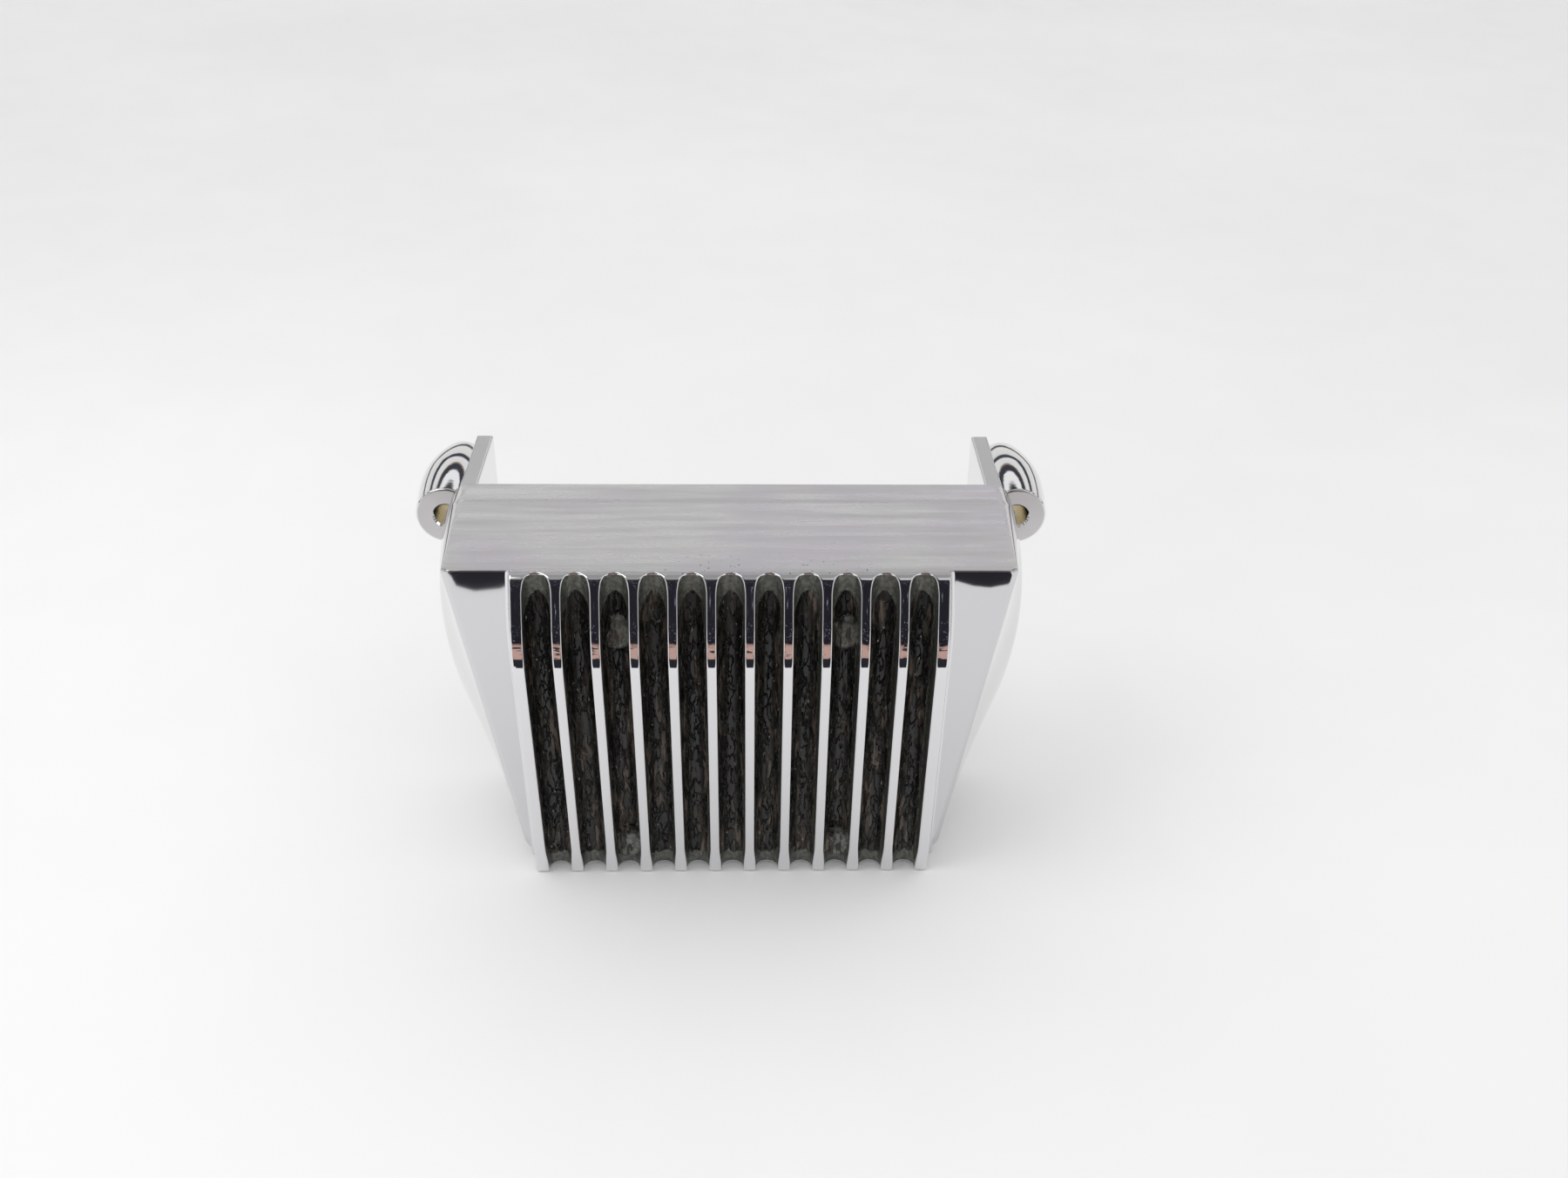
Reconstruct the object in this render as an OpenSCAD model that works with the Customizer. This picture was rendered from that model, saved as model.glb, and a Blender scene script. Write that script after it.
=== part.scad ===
// Finned cover for a motorcycle regulator, hung on two long rear ears.
// Frame: +X right, +Y towards the motorcycle, +Z up, millimetres.
// The origin lies midway between the two ear holes, on the ears' rear faces.

/* [Cover] */
// Half width of the front face at its top edge
face_top_half_w = 75.2; // [70:0.2:78]
// Half width of the front face at its bottom edge
face_bottom_half_w = 60.3; // [58.5:0.2:66]
// Height of the cover
cover_h = 101.4; // [98:0.2:108]
// Depth from the top front edge to the rear rim
cover_depth = 48.3; // [44:0.1:56]
// How far the front face leans back over its height
face_lean = 6.4; // [4:0.2:8]
// Wall thickness of the casting
wall = 3.5; // [2.8:0.1:4.5]

/* [Fins] */
// Number of upright fins
fin_count = 12; // [8:1:12]
// Distance from fin to fin
fin_pitch = 10; // [9.6:0.1:10.2]
// Width of the channel between two fins
channel_w = 7.28; // [6:0.02:7.6]
// How far forward the fins' tops reach before they turn down
fin_top_out = 2.4; // [1.6:0.1:4]
// How far the fins stand forward at the bend, before it is rounded
fin_bend_out = 10.2; // [9:0.1:11.5]
// How far below the top edge the fins bend
fin_bend_drop = 19; // [16:0.5:24]
// How far the fins stand forward at the bottom edge
fin_bottom_out = 0.9; // [0:0.1:2]

/* [Rear rim] */
// Depth of the straight band round the rear rim
rim_band = 10.3; // [8:0.1:14]
// Radius of the rim's top corners
rim_top_r = 6; // [5:0.5:8]
// Radius of the rim's bottom corners
rim_bottom_r = 22; // [18:0.5:26]
// Radius of the rim's bowed sides
rim_side_r = 111; // [105:1:130]
// Half width of the rim where it is widest
rim_half_w = 83.9; // [83:0.1:85]
// Drop from the top face to the rim's widest place
rim_wide_drop = 34; // [30:0.5:38]
// Height of the rim
rim_h = 100; // [99:0.5:101]

/* [Ears] */
// Distance between the two ear holes
ear_spacing = 164.2; // [163:0.1:166]
// Drop of the ear holes below the cover's top face
ear_drop = 10.5; // [10:0.1:12]
// Length of each ear behind the rim
ear_len = 34.5; // [30:0.5:40]
// Radius of the ear's barrel at its front face
ear_r = 8.7; // [8.2:0.1:9.5]
// Radius of the bolt hole
ear_hole_r = 3.4; // [3.1:0.1:3.6]

/* [Fasteners] */
// Radius of the screws' shanks
screw_r = 2.4; // [2.3:0.05:2.45]
// Radius of the screws' heads
screw_head_r = 4.4; // [4:0.1:4.8]
// Height of the screws' heads
screw_head_h = 3.4; // [3:0.1:4]

/* [Hidden] */
$fn = 48;

cut = 1;
running_gap = 0.05;
arc_steps = 16;

// Places seen from the middle of the cover's top front edge
rim_y = cover_depth;
band_y = rim_y - rim_band;
ear_back_y = rim_y + ear_len;

// Fins and channels
channel_count = fin_count - 1;
channel_r = channel_w / 2;
fin_block_half_w = fin_count * fin_pitch / 2 - channel_r + 0.8;
fin_h = cover_h;
fin_bend_round = 8;
round_steps = 8;
channel_top_y = -0.9;
channel_bottom_y = face_lean - 3;
channel_tilt = atan((channel_bottom_y - channel_top_y) / fin_h);

// Screw bosses, and the lumps over them in the third channel from each end
boss_x = 3 * fin_pitch;
boss_zs = [-18, -88.5];
boss_r = 5.3;
boss_bore_r = screw_r + 0.1;
boss_bore_depth = 16;
lump_zs = [-18, -92];
lump_r = 5.3;
lump_round = 1.2;
lump_out = 2.6;

// Back frame, let into a rebate in the rim with the seal under it
frame_t = 4;
seal_t = 1;
frame_front_y = rim_y - frame_t;
ledge_y = frame_front_y - seal_t;
rebate_inset = 2.4;
fit_gap = 0.3;
ledge_inset = 5;
window_half_w = 50;
window_top_z = -27;
window_bottom_z = -73;
window_r = 8;

// Rubber grommets and steel sleeves in the frame's four corner holes
grommet_flange = 1.2;
grommet_r = 6.1;
grommet_neck_r = 4.9;
sleeve_r = 3.4;
sleeve_bore_r = screw_r + 0.15;
boss_end_y = frame_front_y - grommet_flange;
grommet_back_y = rim_y + grommet_flange;

// Stacks of washers under the screw heads
washer_t = 1;
lock_t = 1.2;
washer_r = 5.2;
lock_r = 4.2;
lock_slot = 0.8;
socket_r = 1.7;
socket_depth = 2;
cover_screw_len = 20;
ear_screw_len = 14;

// Ears
ear_x = ear_spacing / 2;
ear_web_in_x = 72.6;
ear_web_top_z = -3;
ear_web_bottom_z = -18;
ear_bulge = 1.3;
ear_dome = 18;
ear_dome_power = 1.8;
ear_back_r = 6.8;
ear_front_round = 0.7;
ear_steps = 10;
bush_r = 4.9;
bush_len = 33;
foot_t = 3.5;
foot_in_x = 58.5;
foot_out_x = 76;
foot_bottom_z = -36;
foot_r = 5;
ear_screw_x = 65;
ear_screw_zs = [-12, -29];
frame_pad_r = 4.8;
frame_pad_len = 6;

chrome = [0.80, 0.81, 0.83];
black = [0.10, 0.10, 0.10];
steel = [0.62, 0.63, 0.65];
brass = [0.72, 0.56, 0.28];
rubber = [0.07, 0.07, 0.07];

// Moves a shape from the cover's top front edge to the origin's frame
module from_face() {
    translate([0, -ear_back_y, ear_drop])
        children();
}

// Turns an outline drawn in X and Z into a plate from y0 to y1
module plate_y(y0, y1) {
    translate([0, y1, 0])
        rotate([90, 0, 0])
            linear_extrude(y1 - y0)
                children();
}

// A rod along Y from y0 to y1
module rod_y(r, y0, y1) {
    translate([0, y0, 0])
        rotate([-90, 0, 0])
            cylinder(h = y1 - y0, r = r);
}

// Points along an arc about c from angle a0 to angle a1
function arc_points(c, r, a0, a1) = [
    for (i = [0:arc_steps])
        let (a = a0 + (a1 - a0) * i / arc_steps)
        c + r * [cos(a), sin(a)]
];

// The rim's outline: bowed sides running smoothly into four round corners
module rim_outline(inset) {
    side_c = [rim_half_w - rim_side_r, -rim_wide_drop];
    top_z = -rim_top_r;
    bottom_z = rim_bottom_r - rim_h;
    top_x = side_c[0] + sqrt((rim_side_r - rim_top_r) ^ 2 - (top_z - side_c[1]) ^ 2);
    bottom_x = side_c[0] + sqrt((rim_side_r - rim_bottom_r) ^ 2 - (bottom_z - side_c[1]) ^ 2);
    top_a = atan2(top_z - side_c[1], top_x - side_c[0]);
    bottom_a = atan2(bottom_z - side_c[1], bottom_x - side_c[0]);
    right = concat(
        arc_points([top_x, top_z], rim_top_r - inset, 90, top_a),
        arc_points(side_c, rim_side_r - inset, top_a, bottom_a),
        arc_points([bottom_x, bottom_z], rim_bottom_r - inset, bottom_a, -90)
    );
    left = [for (i = [len(right) - 1:-1:0]) [-right[i][0], right[i][1]]];
    polygon(concat(right, left));
}

// The casting's body between its leaning front face and the rim band
module body_form(inset, front_y, back_y) {
    lean = face_lean / cover_h;
    round_r = 1.5;
    low_round_r = 5;
    top_z = -inset - round_r;
    low_z = -cover_h + inset + low_round_r;
    hull() {
        for (s = [-1, 1]) {
            translate([s * (face_top_half_w - inset - round_r), front_y + round_r, top_z])
                sphere(r = round_r, $fn = 32);
            translate([s * (face_bottom_half_w - inset - low_round_r), front_y + face_lean, low_z])
                rotate([-90 + atan(lean), 0, 0])
                    cylinder(h = 0.5, r = low_round_r, $fn = 32);
        }
        plate_y(back_y - 0.5, back_y)
            rim_outline(inset);
    }
}

// Points of a rounded corner at c, starting and ending at a distance from it towards a and b
function rounded_corner(a, c, b, distance) =
    let (p = c + distance * (a - c) / norm(a - c), q = c + distance * (b - c) / norm(b - c))
    [for (i = [0:round_steps])
        let (s = i / round_steps)
        (1 - s) * (1 - s) * p + 2 * s * (1 - s) * c + s * s * q];

// The block the channels are cut from: rounded top, forward slope, rounded bend, long slope back
module fin_block() {
    start = [0, 0];
    top_corner = [-fin_top_out, 0];
    bend = [-fin_bend_out, -fin_bend_drop];
    foot = [-fin_bottom_out, -fin_h];
    rotate([90, 0, 90])
        translate([0, 0, -fin_block_half_w])
            linear_extrude(2 * fin_block_half_w)
                polygon(concat(
                    [[wall - 0.5, 0]],
                    rounded_corner(start, top_corner, bend, fin_top_out),
                    rounded_corner(top_corner, bend, foot, fin_bend_round),
                    [foot, [face_lean + wall - 0.5, -fin_h]]
                ));
}

// One upright channel with a round floor, open at its top and its bottom
module channel() {
    reach = 20;
    translate([0, channel_top_y, 0])
        rotate([channel_tilt, 0, 0])
            translate([0, 0, -fin_h - 3 * cut])
                linear_extrude(fin_h + 5 * cut) {
                    translate([0, channel_r - channel_w])
                        circle(r = channel_r);
                    translate([-channel_r, channel_r - channel_w - reach])
                        square([channel_w, reach]);
                }
}

// Places its children at the four screw bosses
module at_bosses() {
    for (x = [-boss_x, boss_x], z = boss_zs)
        translate([x, 0, z])
            children();
}

function channel_floor_y(z) = channel_top_y + (channel_bottom_y - channel_top_y) * -z / fin_h;

module lumps() {
    for (x = [-boss_x, boss_x], z = lump_zs)
        intersection() {
            translate([x, 0, z]) {
                rod_y(lump_r, channel_floor_y(z) - lump_out + lump_round, channel_floor_y(z) + wall);
                rod_y(lump_r - lump_round, channel_floor_y(z) - lump_out, channel_floor_y(z) + wall);
            }
            translate([x - channel_r - 0.5, -fin_bend_out, -fin_h])
                cube([channel_w + 1, fin_bend_out + face_lean + wall, fin_h]);
        }
}

module bosses() {
    for (x = [-boss_x, boss_x], z = boss_zs)
        translate([x, 0, z])
            rod_y(boss_r, channel_floor_y(z) + wall / 2, boss_end_y);
}

module finned_cover() {
    color(chrome)
        from_face()
            difference() {
                union() {
                    difference() {
                        union() {
                            body_form(0, 0, band_y + 0.5);
                            plate_y(band_y, rim_y)
                                rim_outline(0);
                            fin_block();
                        }
                        for (i = [1:channel_count])
                            translate([(i - (channel_count + 1) / 2) * fin_pitch, 0, 0])
                                channel();
                        body_form(wall, wall, ledge_y - 6);
                        plate_y(ledge_y - 7, ledge_y + cut)
                            rim_outline(ledge_inset);
                        plate_y(ledge_y, rim_y + cut)
                            rim_outline(rebate_inset);
                    }
                    lumps();
                    bosses();
                }
                at_bosses()
                    rod_y(boss_bore_r, boss_end_y - boss_bore_depth, boss_end_y + cut);
            }
}

module edge_seal() {
    color(rubber)
        from_face()
            plate_y(ledge_y, frame_front_y)
                difference() {
                    rim_outline(rebate_inset + fit_gap);
                    rim_outline(ledge_inset);
                }
}

module rounded_box_2d(half_w, low_z, high_z, r) {
    for (s = [-1, 1], z = [low_z + r, high_z - r])
        translate([s * (half_w - r), z])
            circle(r = r);
    translate([-half_w, low_z + r])
        square([2 * half_w, high_z - low_z - 2 * r]);
    translate([r - half_w, low_z])
        square([2 * (half_w - r), high_z - low_z]);
}

// Places its children at the screws that hold both ears
module at_ear_screws() {
    for (s = [-1, 1], z = ear_screw_zs)
        translate([s * ear_screw_x, 0, z])
            children();
}

module back_frame() {
    color(black)
        from_face()
            difference() {
                union() {
                    plate_y(frame_front_y, rim_y)
                        difference() {
                            rim_outline(rebate_inset + fit_gap);
                            rounded_box_2d(window_half_w, window_bottom_z, window_top_z, window_r);
                        }
                    at_ear_screws()
                        rod_y(frame_pad_r, frame_front_y - frame_pad_len, frame_front_y + cut);
                }
                at_ear_screws()
                    rod_y(boss_bore_r, frame_front_y - frame_pad_len - cut, rim_y + cut);
                at_bosses()
                    rod_y(grommet_neck_r + running_gap, frame_front_y - cut, rim_y + cut);
            }
}

module isolation_grommets() {
    color(rubber)
        from_face()
            at_bosses()
                difference() {
                    union() {
                        rod_y(grommet_r, boss_end_y, frame_front_y);
                        rod_y(grommet_neck_r, boss_end_y, grommet_back_y);
                        rod_y(grommet_r, rim_y, grommet_back_y);
                    }
                    rod_y(sleeve_r + running_gap, boss_end_y - cut, grommet_back_y + cut);
                }
}

module grommet_sleeves() {
    color(steel)
        from_face()
            at_bosses()
                difference() {
                    rod_y(sleeve_r, boss_end_y, grommet_back_y);
                    rod_y(sleeve_bore_r, boss_end_y - cut, grommet_back_y + cut);
                }
}

module washer(y0, r, t) {
    difference() {
        rod_y(r, y0, y0 + t);
        rod_y(sleeve_bore_r, y0 - cut, y0 + t + cut);
    }
}

// A split spring washer
module lock_washer(y0) {
    difference() {
        washer(y0, lock_r, lock_t);
        translate([-lock_slot / 2, y0 - cut, 0])
            cube([lock_slot, lock_t + 2 * cut, lock_r + cut]);
    }
}

// A socket screw whose head starts at head_y, with its shank pointing forward
module socket_screw(head_y, len) {
    difference() {
        union() {
            rod_y(screw_r, head_y - len, head_y + cut);
            rod_y(screw_head_r, head_y, head_y + screw_head_h);
        }
        translate([0, head_y + screw_head_h - socket_depth, 0])
            rotate([-90, 0, 0])
                cylinder(h = socket_depth + cut, r = socket_r, $fn = 6);
    }
}

module cover_washers() {
    color(steel)
        from_face()
            at_bosses()
                washer(grommet_back_y, washer_r, washer_t);
}

module cover_lock_washers() {
    color(steel)
        from_face()
            at_bosses()
                lock_washer(grommet_back_y + washer_t);
}

module cover_screws() {
    color(steel)
        from_face()
            at_bosses()
                socket_screw(grommet_back_y + washer_t + lock_t, cover_screw_len);
}

// The barrel's outline: a rounded front edge, a slight swell and a domed back
function barrel_outline() = concat(
    [[0, 0], [ear_r - ear_front_round, 0]],
    [for (i = [0:ear_steps])
        let (t = i / ear_steps)
        [ear_r + ear_bulge * sin(90 * t), ear_front_round + t * (ear_len - ear_dome - ear_front_round)]],
    [for (i = [1:ear_steps])
        let (t = i / ear_steps, fall = pow(t, ear_dome_power))
        [ear_r + ear_bulge - (ear_r + ear_bulge - ear_back_r) * fall, ear_len - ear_dome * (1 - t)]],
    [[0, ear_len]]
);

// The right ear: barrel, upright web and the foot that bolts to the frame
module ear() {
    difference() {
        union() {
            intersection() {
                translate([ear_x, rim_y, -ear_drop])
                    rotate([-90, 0, 0])
                        rotate_extrude()
                            polygon(barrel_outline());
                plate_y(rim_y - cut, ear_back_y + cut)
                    translate([ear_web_in_x, -2 * ear_x])
                        square([ear_x, 4 * ear_x]);
            }
            plate_y(rim_y, ear_back_y)
                translate([ear_web_in_x, ear_web_bottom_z])
                    square([ear_x - ear_web_in_x, ear_web_top_z - ear_web_bottom_z]);
            plate_y(rim_y, rim_y + foot_t)
                translate([(foot_in_x + foot_out_x) / 2, 0])
                    rounded_box_2d((foot_out_x - foot_in_x) / 2, foot_bottom_z, ear_web_top_z - 1, foot_r);
        }
        translate([ear_x, 0, -ear_drop]) {
            rod_y(ear_hole_r, rim_y - cut, ear_back_y + cut);
            rod_y(bush_r + running_gap, ear_back_y - bush_len, ear_back_y + cut);
        }
        for (z = ear_screw_zs)
            translate([ear_screw_x, 0, z])
                rod_y(sleeve_bore_r, rim_y - cut, rim_y + foot_t + cut);
    }
}

module ear_bush() {
    translate([ear_x, 0, -ear_drop])
        difference() {
            rod_y(bush_r, ear_back_y - bush_len, ear_back_y);
            rod_y(ear_hole_r, ear_back_y - bush_len - cut, ear_back_y + cut);
        }
}

module right_ear() {
    color(chrome)
        from_face()
            ear();
}

module left_ear() {
    color(chrome)
        from_face()
            mirror([1, 0, 0])
                ear();
}

module right_ear_bush() {
    color(brass)
        from_face()
            ear_bush();
}

module left_ear_bush() {
    color(brass)
        from_face()
            mirror([1, 0, 0])
                ear_bush();
}

module ear_washers() {
    color(steel)
        from_face()
            at_ear_screws()
                washer(rim_y + foot_t, washer_r, washer_t);
}

module ear_lock_washers() {
    color(steel)
        from_face()
            at_ear_screws()
                lock_washer(rim_y + foot_t + washer_t);
}

module ear_screws() {
    color(steel)
        from_face()
            at_ear_screws()
                socket_screw(rim_y + foot_t + washer_t + lock_t, ear_screw_len);
}

finned_cover();
edge_seal();
back_frame();
isolation_grommets();
grommet_sleeves();
cover_washers();
cover_lock_washers();
cover_screws();
left_ear();
right_ear();
left_ear_bush();
right_ear_bush();
ear_washers();
ear_lock_washers();
ear_screws();
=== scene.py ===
"""Looks of the chromed finned cover: its casting and ears as detailed meshes, materials, light and camera."""

import math

import bmesh
import bpy
from mathutils import Matrix, Vector


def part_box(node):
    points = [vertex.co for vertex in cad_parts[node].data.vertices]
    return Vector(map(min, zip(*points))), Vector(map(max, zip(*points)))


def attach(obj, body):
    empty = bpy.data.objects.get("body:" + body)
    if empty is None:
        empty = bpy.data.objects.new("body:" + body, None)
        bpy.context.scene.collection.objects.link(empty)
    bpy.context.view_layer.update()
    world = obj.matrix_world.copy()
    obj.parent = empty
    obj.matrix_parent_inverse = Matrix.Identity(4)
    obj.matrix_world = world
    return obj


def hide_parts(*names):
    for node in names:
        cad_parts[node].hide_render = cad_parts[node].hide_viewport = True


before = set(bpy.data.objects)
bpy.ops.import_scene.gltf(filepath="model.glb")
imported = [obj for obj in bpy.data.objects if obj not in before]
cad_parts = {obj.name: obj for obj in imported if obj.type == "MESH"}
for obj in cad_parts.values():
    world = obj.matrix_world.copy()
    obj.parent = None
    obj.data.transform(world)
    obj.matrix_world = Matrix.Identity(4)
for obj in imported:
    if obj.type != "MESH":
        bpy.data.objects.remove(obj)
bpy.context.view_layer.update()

MM = 0.001
COVER_LO, COVER_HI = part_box("finned_cover")
EAR_LO, EAR_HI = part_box("right_ear")

# Shapes are given in millimetres from the middle of the cover's top front edge: X right, Y back, Z up.
COVER_DEPTH = 48.3
COVER_H = (COVER_HI.z - COVER_LO.z) / MM
FACE = Vector((0, COVER_HI.y - COVER_DEPTH * MM, COVER_HI.z))

FACE_LEAN = 6.4
FACE_TOP_HALF_W = 75.2
FACE_BOTTOM_HALF_W = 60.3
WALL = 3.5

FIN_COUNT = 12
FIN_PITCH = 10
CHANNEL_R = 3.64
FIN_TOP_OUT = 2.4
FIN_BEND_OUT = 10.2
FIN_BEND_DROP = 19
FIN_BEND_ROUND = 8
FIN_BOTTOM_OUT = 0.9
FIN_DRAFT = 0.15
OUTER_FIN_EXTRA = 0.8
BLOCK_HALF_W = FIN_COUNT * FIN_PITCH / 2 - CHANNEL_R + OUTER_FIN_EXTRA
FLOOR_TOP_Y = -0.9
FLOOR_BOTTOM_OUT = 3
FLOOR_BOTTOM_Y = FACE_LEAN - FLOOR_BOTTOM_OUT

RIM_TOP_R = 6
RIM_SIDE_R = 111
RIM_BOTTOM_R = 22
RIM_HALF_W = COVER_HI.x / MM
RIM_WIDE_DROP = 34
RIM_H = 100
RIM_BAND_DEPTH = 10.3
RIM_BAND_Y = COVER_DEPTH - RIM_BAND_DEPTH
LEDGE_DEPTH = 5

BOSS_X = 3 * FIN_PITCH
BOSS_ZS = (-18, -88.5)
LUMP_ZS = (-18, -92.5)
LUMP_R = 5.4

EAR_BACK_Y = (EAR_HI.y - FACE.y) / MM
EAR_R = 8.7
EAR_BULGE = 1.3
EAR_DOME = 18
EAR_BACK_R = 6.8
EAR_X = EAR_HI.x / MM - EAR_R - EAR_BULGE
EAR_Z = -10.5

SHARP_ANGLE = 32
NORMAL_WEIGHT = 90


def to_row(point):
    """A point in millimetres from the cover's top front edge, as metres in the row frame."""
    return FACE + Vector(point) * MM


def lerp(a, b, t):
    return a + (b - a) * t


def smoothstep(a, b, x):
    t = min(max((x - a) / (b - a), 0), 1)
    return t * t * (3 - 2 * t)


def spread(a, b, count):
    """count + 1 evenly spaced values from a to b."""
    return [lerp(a, b, i / count) for i in range(count + 1)]


# ---------------------------------------------------------------- mesh helpers


class Skin:
    """A mesh in the making, in millimetres, with two masks per vertex: paint, and rubbed-off paint together
    with painted light on the lit right walls of the channels and the right sides of the pads.
    """

    def __init__(self):
        self.bm = bmesh.new()
        self.paint = self.bm.verts.layers.float.new("paint")
        self.wear_and_painted_light = self.bm.verts.layers.float.new("wear_and_painted_light")

    def vert(self, point, paint=0, wear_and_painted_light=0):
        v = self.bm.verts.new(to_row(point))
        v[self.paint] = paint
        v[self.wear_and_painted_light] = wear_and_painted_light
        return v

    def face(self, verts):
        distinct = list(dict.fromkeys(verts))
        if len(distinct) > 2:
            self.bm.faces.new(distinct)

    def strip(self, a, b):
        """Quads between two rows of vertices."""
        for i in range(len(a) - 1):
            self.face([a[i], a[i + 1], b[i + 1], b[i]])

    def loft(self, rings):
        """Closed rings joined one to the next."""
        for a, b in zip(rings, rings[1:]):
            self.strip(a + a[:1], b + b[:1])

    def solid(self, rings):
        """A loft closed with a face at both ends."""
        self.loft(rings)
        self.face(rings[0])
        self.face(rings[-1])

    def finish(self, name):
        bmesh.ops.recalc_face_normals(self.bm, faces=self.bm.faces)
        mesh = bpy.data.meshes.new(name)
        self.bm.to_mesh(mesh)
        self.bm.free()
        piece = bpy.data.objects.new(name, mesh)
        bpy.context.collection.objects.link(piece)
        return piece


def shade(piece):
    """Smooth shading that keeps flat faces flat and sharp edges crisp."""
    mesh = piece.data
    mesh.polygons.foreach_set("use_smooth", [True] * len(mesh.polygons))
    mesh.set_sharp_from_angle(angle=math.radians(SHARP_ANGLE))
    weighted = piece.modifiers.new("weighted_normals", "WEIGHTED_NORMAL")
    weighted.keep_sharp = True
    weighted.weight = NORMAL_WEIGHT


def boolean(piece, other, operation):
    """Applies one exact boolean and removes the other object."""
    modifier = piece.modifiers.new("boolean", "BOOLEAN")
    modifier.operation = operation
    modifier.solver = "EXACT"
    modifier.object = other
    graph = bpy.context.evaluated_depsgraph_get()
    mesh = bpy.data.meshes.new_from_object(piece.evaluated_get(graph))
    piece.modifiers.clear()
    old = piece.data
    piece.data = mesh
    bpy.data.meshes.remove(old)
    bpy.data.objects.remove(other)


def turned_rows(skin, x, z, profile, segments):
    """Rows of vertices for a profile of (radius, y) turned about an axis along Y."""
    rows = []
    for r, y in profile:
        row = []
        for i in range(segments):
            a = 2 * math.pi * i / segments
            row.append(skin.vert((x + r * math.cos(a), y, z + r * math.sin(a))))
        rows.append(row)
    return rows


def lathe(skin, x, z, profile, segments):
    """A closed profile, turned."""
    rows = turned_rows(skin, x, z, profile, segments)
    skin.loft(rows + rows[:1])


def solid_lathe(skin, x, z, profile, segments):
    """An open profile, turned and closed at both ends."""
    skin.solid(turned_rows(skin, x, z, profile, segments))


# ---------------------------------------------------------------- the casting's body


def arc(cx, cz, r, a0, a1, count):
    """Points along an arc, angles in degrees."""
    angles = [math.radians(a) for a in spread(a0, a1, count)]
    return [(cx + r * math.cos(a), cz + r * math.sin(a)) for a in angles]


CORNER_STEPS = 8
SIDE_STEPS = 24
TOP_STEPS = 24
LOW_STEPS = 12
WALL_RINGS = 8
INNER_RINGS = 6

# Front edge, nearly sharp along the top and bevelled down the sides: (top inset, side inset, y from the face)
FRONT_EDGE = ((0.36, 1.95, 0), (0.2, 1.8, 0.03), (0.08, 1.66, 0.1), (0.02, 1.5, 0.22),
              (0, 0.34, 1.16), (0, 0.18, 1.34), (0, 0.06, 1.6), (0, 0, 2.0))
# Rim profiles as (inset, y), from the band's step, from the rear face and from the seal's ledge
BAND_STEP = ((0.12, -0.8), (0.09, -0.3), (0.05, 0.3), (0.02, 0.8), (0, 1.6))
REAR_EDGE = ((0, -0.45), (0.06, -0.22), (0.18, -0.07), (0.4, 0), (2.3, 0), (2.4, -0.1))
LEDGE_EDGE = ((2.4, 0), (4.9, 0), (5, -0.1), (5, -4))
# Rings with a y below this follow the front face's lean
LEAN_LIMIT_Y = 20


def ring_points(right):
    """A closed outline from its right half, which runs from the top edge's end to the bottom edge's end."""
    top_x, top_z = right[0]
    low_x, low_z = right[-1]
    top = [(x, top_z) for x in spread(-top_x, top_x, TOP_STEPS)[1:-1]]
    low = [(x, low_z) for x in spread(low_x, -low_x, TOP_STEPS)[1:-1]]
    left = [(-x, z) for x, z in reversed(right)]
    return top + right + low + left


def face_outline(inset_top, inset_side, inset_low=0.0):
    """The leaning front face: a trapezoid narrowing downwards, with small round corners."""
    top_r, low_r = 1.2, 6
    tilt = math.atan((FACE_TOP_HALF_W - FACE_BOTTOM_HALF_W) / COVER_H)
    nx, nz = math.cos(tilt), -math.sin(tilt)

    def centre(z, r):
        return (nx * FACE_TOP_HALF_W - inset_side - r - nz * z) / nx, z

    side = -math.degrees(tilt)
    top_c = centre(-inset_top - top_r, top_r)
    low_c = centre(-COVER_H + inset_low + low_r, low_r)
    a = arc(*top_c, top_r, 90, side, CORNER_STEPS)
    c = arc(*low_c, low_r, side, -90, LOW_STEPS)
    b = [(lerp(a[-1][0], c[0][0], t), lerp(a[-1][1], c[0][1], t)) for t in spread(0, 1, SIDE_STEPS)[1:-1]]
    return ring_points(a + b + c)


def rim_outline(inset):
    """The rear rim: bowed sides running smoothly into four round corners."""
    side_c = (RIM_HALF_W - RIM_SIDE_R, -RIM_WIDE_DROP)

    def corner(z, r):
        x = side_c[0] + math.sqrt((RIM_SIDE_R - r) ** 2 - (z - side_c[1]) ** 2)
        return (x, z), math.degrees(math.atan2(z - side_c[1], x - side_c[0]))

    top_c, top_a = corner(-RIM_TOP_R, RIM_TOP_R)
    low_c, low_a = corner(RIM_BOTTOM_R - RIM_H, RIM_BOTTOM_R)
    a = arc(*top_c, RIM_TOP_R - inset, 90, top_a, CORNER_STEPS)
    b = arc(*side_c, RIM_SIDE_R - inset, top_a, low_a, SIDE_STEPS)[1:-1]
    c = arc(*low_c, RIM_BOTTOM_R - inset, low_a, -90, LOW_STEPS)
    return ring_points(a + b + c)


def lean_y(z):
    return FACE_LEAN * -z / COVER_H


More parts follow.
